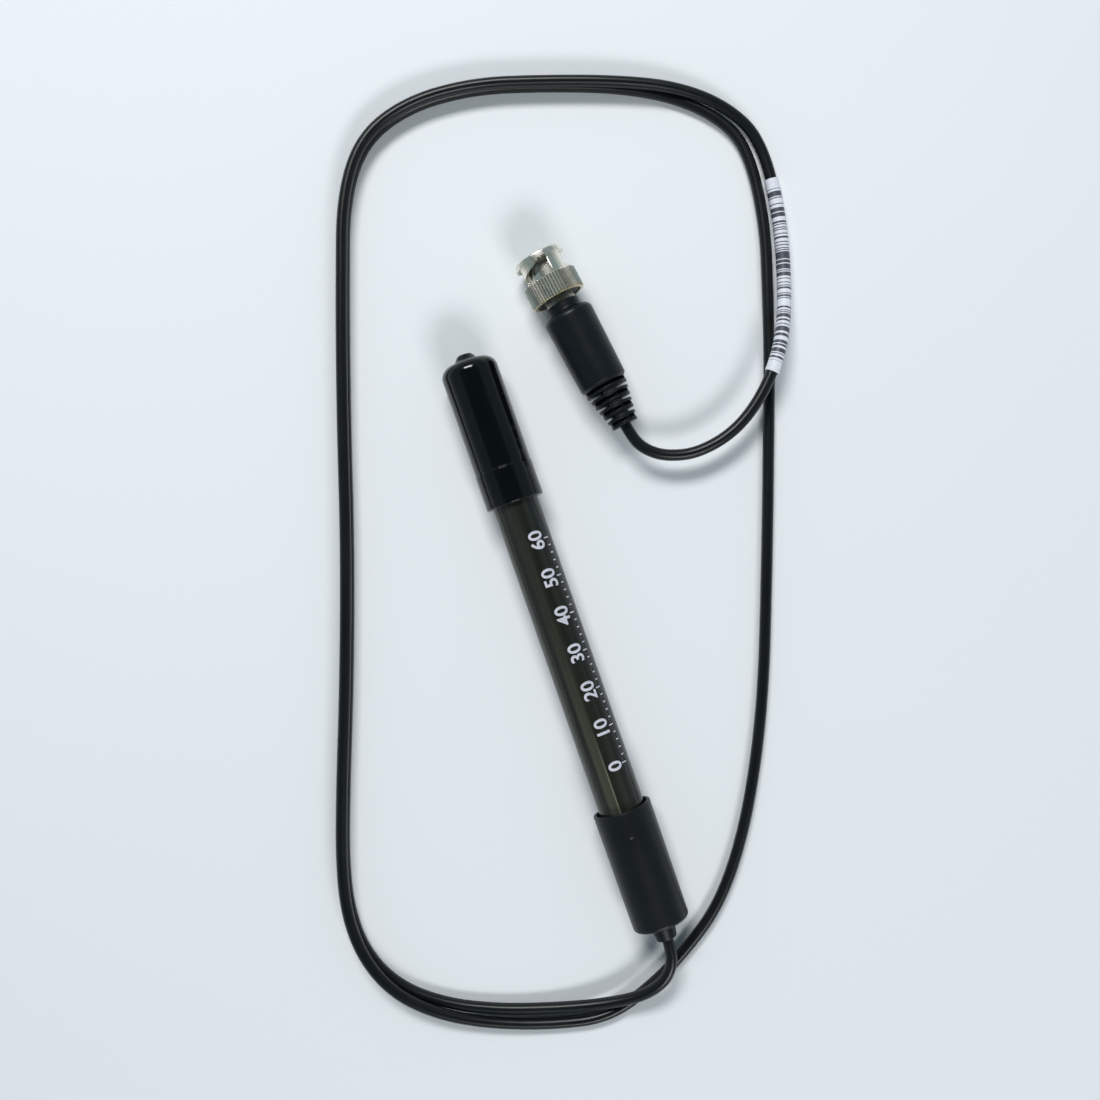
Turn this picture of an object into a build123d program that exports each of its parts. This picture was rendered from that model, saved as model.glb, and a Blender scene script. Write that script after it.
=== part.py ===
from build123d import *
import math
import os

# Laboratory pH electrode lying on its side, with its cable laid round it in two loose turns.
# Millimetres. The electrode lies along Y, its tip towards +Y, and the floor is z = 0.
# The origin is on the floor below the middle of the electrode.

# Electrode, stations along its axis
stub_length = 4.2
rear_cap_length = 31.3
tube_showing = 82.4
tip_cap_length = 40.1

# Body tube and its slotted bulb guard
tube_r = 6.0
tube_wall = 1.6
tube_in_tip_cap = 28.0
guard_slot_width = 4.6
guard_slot_depth = 7.6
guard_edge_round = 0.5

# Protective cap on the tip
tip_cap_wall = 1.4
tip_cap_clearance = 0.05
collar_extra = 0.15
collar_length = 9.0
collar_step = 0.6
tip_cap_end_wall = 1.9
tip_cap_shoulder_round = 3.0
tip_cap_inner_round = 2.4
tip_cap_lip_round = 0.4
nub_r = 1.9
nub_base_r = 3.3
nub_height = 2.0
nub_round = 0.9
nub_base_round = 1.2

# Rear cap
rear_cap_r = 7.6
rear_cap_back_r = 7.4
rear_cap_back_round = 1.0
rear_cap_lip_round = 0.25
rear_cap_recess_r = 6.7
rear_cap_recess_depth = 3.6
rear_cap_cavity_r = 5.6
rear_cap_cavity_length = 14.5
rear_cap_end_wall = 2.8
gate_mark_r = 0.55
gate_mark_depth = 0.2
gate_mark_from_mouth = 7.0
guard_slot_turns = (0, 90)

# Strain relief in the rear cap
relief_root_r = 3.3
relief_end_r = 2.65
relief_end_round = 0.5
relief_flange_r = 4.7
relief_flange_thickness = 1.5

# Glass stem and bulb, seals and fillings
stem_r = 2.5
stem_wall = 0.45
stem_out_of_plug = 1.5
bulb_r = 3.9
bulb_wall = 0.4
bulb_recess = 1.0
seal_recess = 9.6
seal_thickness = 4.0
junction_r = 0.6
junction_out = 0.3
junction_in = 1.6
gel_length_behind_tip_cap = 46.5
buffer_short_of_plug = 9.0
stem_plug_length = 5.0
chamber_plug_length = 6.0
potting_depth = 3.0

# Silver wires and the joints behind the tube
wire_r = 0.25
measuring_coat_r = 0.6
measuring_coat_length = 12.0
measuring_coat_gap = 3.0
reference_coat_r = 0.5
reference_coat_length = 14.0
reference_coat_gap = 8.0
splice_length = 4.6
splice_overlap = 1.9
signal_splice_r = 0.9
shield_splice_r = 0.75
shield_tail_r = 0.4
shield_tail_lead = 0.6
shield_tail_bend = 0.6
shield_splice_into_cavity = 6.2

# Cable
cord_r = 1.5
core_r = 0.95
conductor_r = 0.25
floor_gap = 0.02
stack_gap = 0.12
straight_out_of_relief = 3.5
straight_into_tail = 4.0
bend_share = 0.45
jacket_into_cavity = 3.5
core_into_cavity = 5.2
conductor_into_cavity = 6.9

# Plug, stations along its axis from the tail to the front
tail_length = 11.4
boot_length = 21.2
boot_neck_length = 2.4
nut_gap = 1.4
nut_length = 12.2
body_into_boot_neck = 0.8
plug_axis_height = 7.2
plug_tail_x = 33.2
plug_tail_y = 48.6
plug_turn = 8.5

# Coupling nut
nut_ring_r = 7.2
nut_ring_length = 5.7
nut_ring_chamfer = 0.3
nut_barrel_r = 5.45
nut_flange_r = 6.65
nut_flange_length = 1.6
nut_flange_round = 0.5
nut_bore_r = 4.95
nut_recess_r = 6.1
nut_recess_depth = 1.2
nut_web = 1.4
rib_count = 54
rib_depth = 0.35
slot_width = 2.2
slot_entry = 2.9
slot_end = 5.2
slot_sweep = 84.0
slot_step = 4.0
slot_eye_r = 1.25
slot_turn_at_rest = 93.0
stud_groove_r = 5.65

# Plug body and what it carries
neck_r = 3.95
neck_clearance = 0.05
body_flange_r = 4.85
body_flange_thickness = 0.9
washer_room = 0.8
sleeve_r = 4.05
sleeve_bore_r = 3.35
sleeve_set_back = 1.0
finger_count = 4
finger_slot_width = 0.5
finger_slot_length = 5.0
finger_slot_turn = 45.0
crimp_stem_r = 2.6
crimp_stem_bore_r = 1.6
crimp_stem_length = 9.4
shield_thickness = 0.25
ferrule_wall = 0.4
ferrule_length = 8.0
gasket_thickness = 0.7
gasket_r = 4.8
gasket_land_r = 4.35
ring_groove_r = 3.4
ring_r = 5.6
ring_thickness = 0.9
ring_gap_width = 2.4
play = 0.1
washer_thickness = 0.3
washer_inner_r = 4.1
insulator_length = 6.5
insulator_nose_r = 1.9
insulator_nose_length = 2.0
pin_r = 0.675
pin_shank_r = 0.9
pin_set_back = 2.0
pin_nose_round = 0.54
solder_cup_depth = 2.5

# Boot with its ribbed tail
boot_front_r = 6.6
boot_rear_r = 6.25
boot_front_round = 1.6
boot_rear_chamfer = 0.8
boot_neck_r = 4.4
tail_rib_count = 7
tail_rib_thickness = 0.95
tail_front_r = 5.6
tail_end_r = 3.55
tail_core_r = 2.5
tail_web_width = 3.0
tail_web_overlap = 0.1

# Label sleeve on the cable
label_thickness = 0.35
label_clearance = 0.05

# Stations worked out from the sizes above
rear_cap_back = stub_length
rear_cap_mouth = rear_cap_back + rear_cap_length
tip_cap_mouth = rear_cap_mouth + tube_showing
probe_length = tip_cap_mouth + tip_cap_length
cavity_back = rear_cap_back + rear_cap_end_wall
tube_back = cavity_back + rear_cap_cavity_length
tube_tip = tip_cap_mouth + tube_in_tip_cap
tube_bore_r = tube_r - tube_wall
seal_front = tube_tip - seal_recess
seal_back = seal_front - seal_thickness
bulb_centre = tube_tip - bulb_recess - bulb_r
stem_back = tube_back - stem_out_of_plug
stem_bore_r = stem_r - stem_wall
gel_back = tip_cap_mouth - gel_length_behind_tip_cap
side_wire_x = (stem_r + tube_bore_r) / 2
jacket_end = cavity_back + jacket_into_cavity
core_end = cavity_back + core_into_cavity
conductor_end = cavity_back + conductor_into_cavity
signal_wire_back = core_end + splice_length - splice_overlap
shield_splice_back = cavity_back + shield_splice_into_cavity
reference_wire_back = shield_splice_back + splice_length - splice_overlap
tip_cap_bore_r = tube_r + tip_cap_clearance
tip_cap_r = tip_cap_bore_r + tip_cap_wall
collar_r = tip_cap_r + collar_extra
tip_cap_shoulder = probe_length - nub_height

boot_back = tail_length
boot_shoulder = boot_back + boot_length
boot_front = boot_shoulder + boot_neck_length
nut_back = boot_front + nut_gap
nut_front = nut_back + nut_length
web_back = nut_back + nut_recess_depth
web_front = web_back + nut_web
body_flange_back = web_front + washer_room
body_flange_front = body_flange_back + body_flange_thickness
gasket_front = body_flange_front + gasket_thickness
body_back = boot_shoulder + body_into_boot_neck
crimp_stem_back = body_back - crimp_stem_length
ferrule_front = crimp_stem_back + ferrule_length
ferrule_r = crimp_stem_r + shield_thickness + ferrule_wall
insulator_back = boot_front
insulator_front = insulator_back + insulator_length
insulator_nose = insulator_front + insulator_nose_length
pin_tip = nut_front - pin_set_back
sleeve_front = nut_front - sleeve_set_back
ring_front = web_back - play
ring_back = ring_front - ring_thickness

probe_axis_height = rear_cap_r
lay_height = cord_r + floor_gap
stack_height = lay_height + 2 * cord_r + stack_gap
label_r = cord_r + label_clearance + label_thickness
label_height = label_r + floor_gap
hump = 7.5


def turned(*outline):
    """Solid of revolution about Z from a closed outline of (radius, station) corners."""
    corners = [(radius, 0, station) for radius, station in outline]
    return revolve(make_face(Polyline(*corners, close=True)), Axis.Z)


def rod(radius, start, end, x=0.0):
    upright = (Align.CENTER, Align.CENTER, Align.MIN)
    return Pos(x, 0, start) * Cylinder(radius, end - start, align=upright)


def tube(outer_r, inner_r, start, end):
    return rod(outer_r, start, end) - rod(inner_r, start, end)


def rim(solid, radius, station):
    """Circular edges about Z with this radius at this station."""
    circles = solid.edges().filter_by(GeomType.CIRCLE)
    return [e for e in circles
            if abs(e.radius - radius) < 1e-4 and abs(e.arc_center.Z - station) < 1e-4
            and abs(e.arc_center.X) < 1e-4 and abs(e.arc_center.Y) < 1e-4]


def on_probe(solid):
    """From stations along Z to the electrode's place along +Y."""
    return Pos(0, -probe_length / 2, probe_axis_height) * Rot(-90, 0, 0) * solid


def on_plug(solid):
    """From stations along Z to the plug's place, its front end towards +Y and a little to -X."""
    place = Pos(plug_tail_x, plug_tail_y, plug_axis_height) * Rot(0, 0, plug_turn)
    return place * Rot(-90, 0, 0) * solid


# Electrode

def make_tip_cap():
    bore_end = tip_cap_shoulder - tip_cap_end_wall
    shell = turned(
        (0, tip_cap_mouth), (collar_r, tip_cap_mouth), (collar_r, tip_cap_mouth + collar_length),
        (tip_cap_r, tip_cap_mouth + collar_length + collar_step), (tip_cap_r, tip_cap_shoulder),
        (nub_base_r, tip_cap_shoulder), (nub_r, probe_length), (0, probe_length))
    shell = fillet(rim(shell, tip_cap_r, tip_cap_shoulder), tip_cap_shoulder_round)
    shell = fillet(rim(shell, nub_r, probe_length), nub_round)
    shell = fillet(rim(shell, nub_base_r, tip_cap_shoulder), nub_base_round)
    shell = fillet(rim(shell, collar_r, tip_cap_mouth), tip_cap_lip_round)
    bore = rod(tip_cap_bore_r, tip_cap_mouth, bore_end)
    bore = fillet(rim(bore, tip_cap_bore_r, bore_end), tip_cap_inner_round)
    return shell - bore


def make_body_tube():
    body = tube(tube_r, tube_bore_r, tube_back, tube_tip)
    body = fillet(rim(body, tube_r, tube_tip), guard_edge_round)
    reach = 3 * tube_r
    for turn in guard_slot_turns:
        slot = Pos(0, 0, tube_tip) * Box(reach, guard_slot_width, 2 * guard_slot_depth)
        end = Rot(0, 90, 0) * Cylinder(guard_slot_width / 2, reach)
        slot += Pos(0, 0, tube_tip - guard_slot_depth) * end
        body -= Rot(0, 0, turn) * slot
    return body


def make_glass_stem():
    bulb = Pos(0, 0, bulb_centre) * Sphere(bulb_r)
    hollow = Pos(0, 0, bulb_centre) * Sphere(bulb_r - bulb_wall)
    return rod(stem_r, stem_back, bulb_centre) + bulb - rod(stem_bore_r, stem_back, bulb_centre) - hollow


def make_measuring_wire():
    coat_end = bulb_centre - measuring_coat_gap
    wire = rod(wire_r, signal_wire_back, coat_end)
    return wire + rod(measuring_coat_r, coat_end - measuring_coat_length, coat_end)


def make_inner_buffer():
    buffer_back = stem_back + stem_plug_length + buffer_short_of_plug
    filling = rod(stem_bore_r, buffer_back, bulb_centre)
    filling += Pos(0, 0, bulb_centre) * Sphere(bulb_r - bulb_wall)
    return filling - make_measuring_wire()


def make_stem_plug():
    return tube(stem_bore_r, wire_r, stem_back, stem_back + stem_plug_length)


def make_reference_wire():
    coat_end = seal_back - reference_coat_gap
    wire = rod(wire_r, reference_wire_back, coat_end, side_wire_x)
    return wire + rod(reference_coat_r, coat_end - reference_coat_length, coat_end, side_wire_x)


def make_reference_junction():
    return rod(junction_r, seal_back - junction_in, seal_front + junction_out, side_wire_x)


def make_reference_gel():
    gel = tube(tube_bore_r, stem_r, gel_back, seal_back)
    return gel - make_reference_wire() - make_reference_junction()


def make_tip_seal():
    return tube(tube_bore_r, stem_r, seal_back, seal_front) - make_reference_junction()


def make_chamber_plug():
    plug = tube(tube_bore_r, stem_r, tube_back, tube_back + chamber_plug_length)
    return plug - make_reference_wire()


def make_potting():
    disc = rod(rear_cap_cavity_r, tube_back - potting_depth, tube_back)
    stem_room = rod(stem_r, stem_back, tube_back)
    return disc - stem_room - make_measuring_wire() - make_reference_wire()


def make_rear_cap():
    cap = turned(
        (0, rear_cap_back), (rear_cap_back_r, rear_cap_back), (rear_cap_r, rear_cap_mouth),
        (0, rear_cap_mouth))
    cap = fillet(rim(cap, rear_cap_back_r, rear_cap_back), rear_cap_back_round)
    cap -= rod(rear_cap_recess_r, rear_cap_mouth - rear_cap_recess_depth, rear_cap_mouth)
    cap -= rod(tube_r, tube_back, rear_cap_mouth)
    cap -= rod(rear_cap_cavity_r, cavity_back, tube_back)
    cap -= rod(relief_root_r, rear_cap_back, cavity_back)
    cap = fillet(rim(cap, rear_cap_recess_r, rear_cap_mouth), rear_cap_lip_round)
    mark_reach = rear_cap_r - gate_mark_depth + gate_mark_r
    mark_height = rear_cap_mouth - gate_mark_from_mouth
    return cap - Pos(0, -mark_reach, mark_height) * Sphere(gate_mark_r)


def make_strain_relief():
    relief = turned(
        (cord_r, 0), (relief_end_r, 0), (relief_root_r, rear_cap_back), (relief_root_r, cavity_back),
        (relief_flange_r, cavity_back), (relief_flange_r, cavity_back + relief_flange_thickness),
        (cord_r, cavity_back + relief_flange_thickness))
    return fillet(rim(relief, relief_end_r, 0), relief_end_round)


def make_signal_splice():
    return tube(signal_splice_r, wire_r, core_end, core_end + splice_length)


def make_shield_tail():
    near_x = core_r + shield_tail_r
    corners = [
        (near_x, 0, jacket_end), (near_x, 0, jacket_end + shield_tail_lead),
        (side_wire_x, 0, shield_splice_back - shield_tail_lead), (side_wire_x, 0, shield_splice_back)]
    path = FilletPolyline(*corners, radius=shield_tail_bend)
    return sweep(Plane(origin=path @ 0, z_dir=path % 0) * Circle(shield_tail_r), path=path)


def make_shield_splice():
    end = shield_splice_back + splice_length
    sleeve = rod(shield_splice_r, shield_splice_back, end, side_wire_x)
    return sleeve - rod(wire_r, shield_splice_back, end, side_wire_x)


# Plug

def bayonet_slot():
    """Cutter for one slot: a groove under the flange's rim, then a ramp round and back to a round eye."""
    middle_r = (nut_barrel_r + nut_bore_r) / 2
    reach = 3 * (nut_flange_r - nut_bore_r)
    stud = Rot(0, 90, 0) * Cylinder(slot_width / 2, reach)
    cutter = Pos(stud_groove_r / 2, 0, nut_front) * Box(stud_groove_r, slot_width, 2 * slot_entry)
    steps = int(slot_sweep / slot_step)
    for i in range(steps + 1):
        share = i / steps
        station = nut_front - slot_entry - share * (slot_end - slot_entry)
        cutter += Rot(0, 0, -share * slot_sweep) * Pos(middle_r, 0, station) * stud
    eye = Rot(0, 90, 0) * Cylinder(slot_eye_r, reach)
    return cutter + Rot(0, 0, -slot_sweep) * Pos(middle_r, 0, nut_front - slot_end) * eye


def make_coupling_nut():
    ring_end = nut_back + nut_ring_length
    ring_edge_r = nut_ring_r - nut_ring_chamfer
    barrel = turned(
        (0, ring_end), (nut_barrel_r, ring_end), (nut_barrel_r, nut_front - nut_flange_length),
        (nut_flange_r, nut_front - nut_flange_length), (nut_flange_r, nut_front), (0, nut_front))
    barrel = fillet(rim(barrel, nut_flange_r, nut_front), nut_flange_round)
    corners = []
    for i in range(rib_count):
        for radius, turn in ((nut_ring_r, i), (nut_ring_r - rib_depth, i + 0.5)):
            angle = math.radians(360 * turn / rib_count)
            corners.append((radius * math.cos(angle), radius * math.sin(angle)))
    ribs = Pos(0, 0, nut_back) * extrude(make_face(Polyline(*corners, close=True)), nut_ring_length)
    blank = turned(
        (0, nut_back), (ring_edge_r, nut_back), (nut_ring_r, nut_back + nut_ring_chamfer),
        (nut_ring_r, ring_end - nut_ring_chamfer), (ring_edge_r, ring_end), (0, ring_end))
    nut = barrel + (ribs & blank)
    nut -= rod(nut_recess_r, nut_back, web_back)
    nut -= rod(neck_r + neck_clearance, web_back, web_front)
    nut -= rod(nut_bore_r, web_front, nut_front)
    for turn in (0, 180):
        nut -= Rot(0, 0, slot_turn_at_rest + turn) * bayonet_slot()
    return nut


def make_plug_body():
    body = turned(
        (crimp_stem_bore_r, crimp_stem_back), (crimp_stem_r, crimp_stem_back), (crimp_stem_r, body_back),
        (neck_r, body_back), (neck_r, ring_back), (ring_groove_r, ring_back),
        (ring_groove_r, ring_front), (neck_r, ring_front), (neck_r, body_flange_back),
        (body_flange_r, body_flange_back), (body_flange_r, body_flange_front),
        (gasket_land_r, body_flange_front), (gasket_land_r, gasket_front), (sleeve_r, gasket_front),
        (sleeve_r, sleeve_front), (sleeve_bore_r, sleeve_front), (sleeve_bore_r, insulator_back),
        (crimp_stem_bore_r, insulator_back))
    cut = Box(2 * sleeve_r, finger_slot_width, 2 * finger_slot_length)
    for i in range(finger_count):
        turn = Rot(0, 0, 360 * i / finger_count + finger_slot_turn)
        body -= turn * Pos(sleeve_r, 0, sleeve_front) * cut
    return body


def make_plug_gasket():
    return tube(gasket_r, gasket_land_r, body_flange_front, gasket_front)


def make_spring_washer():
    back = web_front + play / 2
    return turned(
        (washer_inner_r, body_flange_back - washer_thickness), (washer_inner_r, body_flange_back),
        (gasket_r, back + washer_thickness), (gasket_r, back))


def make_retaining_ring():
    ring = tube(ring_r, ring_groove_r, ring_back, ring_front)
    return ring - Pos(0, -ring_r, ring_back) * Box(ring_gap_width, 2 * ring_r, 3 * ring_thickness)


def make_plug_insulator():
    outside = rod(sleeve_bore_r, insulator_back, insulator_front)
    outside += rod(insulator_nose_r, insulator_front, insulator_nose)
    return outside - rod(pin_shank_r, insulator_back, insulator_nose)


def make_centre_pin():
    pin = rod(pin_shank_r, insulator_back, insulator_nose) + rod(pin_r, insulator_nose, pin_tip)
    pin = fillet(rim(pin, pin_r, pin_tip), pin_nose_round)
    return pin - rod(conductor_r, insulator_back, insulator_back + solder_cup_depth)


def make_plug_shield():
    return tube(crimp_stem_r + shield_thickness, crimp_stem_r, crimp_stem_back, ferrule_front)


def make_crimp_ferrule():
    return tube(ferrule_r, crimp_stem_r + shield_thickness, crimp_stem_back, ferrule_front)


def make_plug_boot():
    boot = turned(
        (0, boot_back), (boot_rear_r, boot_back), (boot_front_r, boot_shoulder),
        (boot_neck_r, boot_shoulder), (boot_neck_r, boot_front), (0, boot_front))
    boot = fillet(rim(boot, boot_front_r, boot_shoulder), boot_front_round)
    boot = chamfer(rim(boot, boot_rear_r, boot_back), boot_rear_chamfer)
    boot += rod(tail_core_r, 0, boot_back)
    pitch = tail_length / tail_rib_count
    for i in range(tail_rib_count):
        rib_r = tail_end_r + (tail_front_r - tail_end_r) * i / (tail_rib_count - 1)
        boot += rod(rib_r, i * pitch, i * pitch + tail_rib_thickness)
        web_length = pitch + tail_web_overlap
        web = Box(2 * rib_r, tail_web_width, web_length, align=(Align.CENTER, Align.CENTER, Align.MIN))
        web &= rod(rib_r, 0, web_length)
        boot += Pos(0, 0, i * pitch) * Rot(0, 0, 90 * (i % 2)) * web
    boot -= rod(cord_r, 0, crimp_stem_back)
    boot -= rod(ferrule_r, crimp_stem_back, ferrule_front)
    boot -= rod(crimp_stem_r, ferrule_front, body_back)
    return boot - rod(neck_r, body_back, boot_front)


# Free cable: two turns round the electrode. The second comes up beside the first, lies on it along
# the left and the top, comes down outside it at the top right and crosses it to the plug.

relief_end_y = -probe_length / 2
first_turn = [
    (0, relief_end_y, probe_axis_height), (0, relief_end_y - straight_out_of_relief, probe_axis_height),
    (-1.5, -86.7, 7.4), (-5.0, -90.0, 6.7), (-11.5, -91.9, 5.0),
    (-21.8, -91.2, 3.0), (-35.1, -88.2, 1.7), (-48.7, -83.7, lay_height), (-60.6, -77.9, lay_height),
    (-70.2, -69.8, lay_height), (-75.5, -59.2, lay_height), (-76.0, -46.8, lay_height),
    (-72.7, -33.0, lay_height), (-66.0, -14.7, lay_height), (-58.1, 5.8, lay_height),
    (-50.6, 26.4, lay_height), (-43.4, 47.4, lay_height), (-36.6, 68.9, lay_height),
    (-30.0, 88.9, lay_height), (-23.4, 108.3, lay_height), (-16.2, 128.4, lay_height),
    (-6.6, 141.2, lay_height), (7.7, 146.0, lay_height), (25.4, 144.8, lay_height),
    (42.9, 139.4, lay_height), (60.1, 133.1, lay_height), (73.5, 125.8, lay_height),
    (83.0, 116.8, lay_height), (87.6, 106.8, lay_height), (85.6, 87.2, lay_height),
    (79.6, 67.6, lay_height), (74.6, 52.0, lay_height), (68.6, 35.5, lay_height),
    (61.4, 15.5, lay_height), (53.6, -5.5, lay_height), (45.8, -26.0, lay_height),
    (36.8, -45.6, lay_height), (26.6, -63.4, lay_height), (15.8, -77.0, lay_height),
    (4.2, -85.2, lay_height), (-7.8, -91.4, lay_height)]
second_turn = [
    (-21.5, -95.6, lay_height), (-36.2, -92.2, lay_height), (-50.0, -86.9, 2.2),
    (-61.9, -80.0, 3.4), (-71.2, -70.8, 4.4), (-75.9, -59.3, stack_height),
    (-76.2, -46.7, stack_height), (-72.8, -32.9, stack_height), (-66.2, -14.6, stack_height),
    (-58.3, 5.9, stack_height), (-50.8, 26.5, stack_height), (-43.6, 47.4, stack_height),
    (-36.8, 69.0, stack_height), (-30.2, 89.0, stack_height), (-23.5, 108.4, stack_height),
    (-16.3, 128.5, stack_height), (-6.7, 141.4, stack_height), (7.7, 146.2, stack_height),
    (25.4, 145.0, stack_height), (43.0, 139.6, stack_height), (60.3, 133.5, stack_height),
    (74.5, 127.2, 4.1), (85.4, 118.6, 3.0), (91.6, 107.5, label_height)]
labelled = [(89.6, 86.5, label_height), (83.6, 66.0, 2.7), (77.0, 53.5, hump)]
tail_lead_x = plug_tail_x + straight_into_tail * math.sin(math.radians(plug_turn))
tail_lead_y = plug_tail_y - straight_into_tail * math.cos(math.radians(plug_turn))
to_plug = [
    (68.5, 43.8, hump), (59.0, 37.6, 7.0), (48.4, 35.6, 6.8), (40.6, 37.5, 6.9), (36.1, 40.7, 7.1),
    (tail_lead_x, tail_lead_y, plug_axis_height), (plug_tail_x, plug_tail_y, plug_axis_height)]


def legs_and_radii(route):
    """Lengths of the runs, and the radius of the arc at each inner point."""
    points = [Vector(*p) for p in route]
    runs = [b - a for a, b in zip(points, points[1:])]
    radii = []
    for before, after in zip(runs, runs[1:]):
        turn = math.radians(before.get_angle(after))
        radii.append(bend_share * min(before.length, after.length) / math.tan(turn / 2))
    return [run.length for run in runs], radii


def make_cord():
    route = first_turn + second_turn + labelled + to_plug
    lengths, radii = legs_and_radii(route)
    path = FilletPolyline(*route, radius=radii)
    cable = sweep(Plane(origin=path @ 0, z_dir=path % 0) * Circle(cord_r), path=path)
    full_volume = math.pi * cord_r ** 2 * path.length
    print("cord length", round(path.length, 1))
    print("cord runs", round(min(lengths), 1), "to", round(max(lengths), 1))
    print("cord radii", [round(r, 1) for r in radii])
    print("cord volume over section times length", round(cable.volume / full_volume, 4))
    return cable


def make_cord_label():
    route = first_turn + second_turn + labelled + to_plug
    first = len(first_turn) + len(second_turn) - 1
    last = first + len(labelled) + 1
    radii = legs_and_radii(route)[1][first:last - 1]
    points = [Vector(*p) for p in route]
    start = (points[first] + points[first + 1]) / 2
    end = (points[last - 1] + points[last]) / 2
    path = FilletPolyline(start, *points[first + 1:last], end, radius=radii)
    plane = Plane(origin=path @ 0, z_dir=path % 0)
    wrap = plane * (Circle(label_r) - Circle(cord_r + label_clearance))
    print("label length", round(path.length, 1))
    return sweep(wrap, path=path)


nodes = {
    "tip_cap": on_probe(make_tip_cap()),
    "body_tube": on_probe(make_body_tube()),
    "rear_cap": on_probe(make_rear_cap()),
    "strain_relief": on_probe(make_strain_relief()),
    "glass_stem": on_probe(make_glass_stem()),
    "inner_buffer": on_probe(make_inner_buffer()),
    "measuring_wire": on_probe(make_measuring_wire()),
    "stem_plug": on_probe(make_stem_plug()),
    "reference_gel": on_probe(make_reference_gel()),
    "reference_wire": on_probe(make_reference_wire()),
    "reference_junction": on_probe(make_reference_junction()),
    "tip_seal": on_probe(make_tip_seal()),
    "chamber_plug": on_probe(make_chamber_plug()),
    "potting": on_probe(make_potting()),
    "cable_end": on_probe(tube(cord_r, core_r, 0, jacket_end)),
    "cable_core": on_probe(tube(core_r, conductor_r, 0, core_end)),
    "centre_conductor": on_probe(rod(conductor_r, 0, conductor_end)),
    "signal_splice": on_probe(make_signal_splice()),
    "shield_tail": on_probe(make_shield_tail()),
    "shield_splice": on_probe(make_shield_splice()),
    "coupling_nut": on_plug(make_coupling_nut()),
    "plug_body": on_plug(make_plug_body()),
    "plug_gasket": on_plug(make_plug_gasket()),
    "spring_washer": on_plug(make_spring_washer()),
    "retaining_ring": on_plug(make_retaining_ring()),
    "plug_insulator": on_plug(make_plug_insulator()),
    "centre_pin": on_plug(make_centre_pin()),
    "plug_shield": on_plug(make_plug_shield()),
    "crimp_ferrule": on_plug(make_crimp_ferrule()),
    "plug_boot": on_plug(make_plug_boot()),
    "plug_cable_end": on_plug(tube(cord_r, core_r, 0, crimp_stem_back)),
    "plug_cable_core": on_plug(tube(core_r, conductor_r, 0, insulator_back)),
    "plug_conductor": on_plug(rod(conductor_r, 0, insulator_back + solder_cup_depth)),
    "cord": make_cord(),
    "cord_label": make_cord_label(),
}

os.makedirs("parts", exist_ok=True)
for name, solid in nodes.items():
    export_step(solid, f"parts/{name}.step")
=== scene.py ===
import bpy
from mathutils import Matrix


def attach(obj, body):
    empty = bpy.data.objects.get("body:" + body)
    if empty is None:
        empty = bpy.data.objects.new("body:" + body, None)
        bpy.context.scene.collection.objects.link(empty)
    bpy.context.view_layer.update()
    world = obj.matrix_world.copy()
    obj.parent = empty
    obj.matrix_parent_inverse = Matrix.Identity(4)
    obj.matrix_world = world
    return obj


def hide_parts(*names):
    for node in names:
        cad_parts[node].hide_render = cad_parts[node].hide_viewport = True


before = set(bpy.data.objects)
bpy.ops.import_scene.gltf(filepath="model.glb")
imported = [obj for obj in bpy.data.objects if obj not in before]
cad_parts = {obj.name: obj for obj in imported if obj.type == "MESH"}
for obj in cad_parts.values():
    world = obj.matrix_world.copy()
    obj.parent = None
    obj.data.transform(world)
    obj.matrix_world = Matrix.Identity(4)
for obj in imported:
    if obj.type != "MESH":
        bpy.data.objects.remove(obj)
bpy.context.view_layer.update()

import math

import bmesh
import bpy
import numpy as np
from mathutils import Vector

millimetre = 0.001


# places: the electrode's axis and the plug's axis, with stations in mm measured along them

probePlace = {"tail": (0, -79.0, 7.6), "turnDegrees": 0.0}
plugPlace = {"tail": (33.2, 48.6, 7.2), "turnDegrees": 8.5}


def roundTheAxis(place, radius, angle, station):
    # a point at this radius, this angle from straight up towards +X, and this station along the axis
    turn = math.radians(place["turnDegrees"])
    sideways = radius * np.sin(angle)
    x = place["tail"][0] - math.sin(turn) * station + math.cos(turn) * sideways
    y = place["tail"][1] + math.cos(turn) * station + math.sin(turn) * sideways
    z = place["tail"][2] + radius * np.cos(angle) + 0 * station
    return np.stack([x, y, z], axis=-1) * millimetre


# surfaces

def roundedLine(corners, perRound):
    # corners are (radius, station, rounding); each rounded corner becomes an arc that touches both its sides
    points = []
    count = len(corners)
    for i, (radius, station, rounding) in enumerate(corners):
        here = np.array([radius, station], float)
        if rounding == 0 or i in (0, count - 1):
            points.append(here)
            continue
        before = np.array(corners[i - 1][:2], float) - here
        after = np.array(corners[i + 1][:2], float) - here
        before /= np.linalg.norm(before)
        after /= np.linalg.norm(after)
        half = math.acos(float(np.clip(before @ after, -1, 1))) / 2
        middle = before + after
        centre = here + middle / np.linalg.norm(middle) * rounding / math.sin(half)
        first = here + before * rounding / math.tan(half) - centre
        last = here + after * rounding / math.tan(half) - centre
        share = np.linspace(0, 1, perRound)[:, None]
        arc = first * (1 - share) + last * share
        arc *= rounding / np.linalg.norm(arc, axis=1, keepdims=True)
        points.extend(centre + arc)
    return np.array(points)


def closerPoints(line, step):
    # the same line with a point at least every step, so that a shape can vary along its straight parts
    pieces = [line[:1]]
    for a, b in zip(line, line[1:]):
        parts = max(1, int(math.ceil(np.linalg.norm(b - a) / step)))
        pieces.append(a + (b - a) * np.linspace(0, 1, parts + 1)[1:, None])
    return np.concatenate(pieces)


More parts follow.
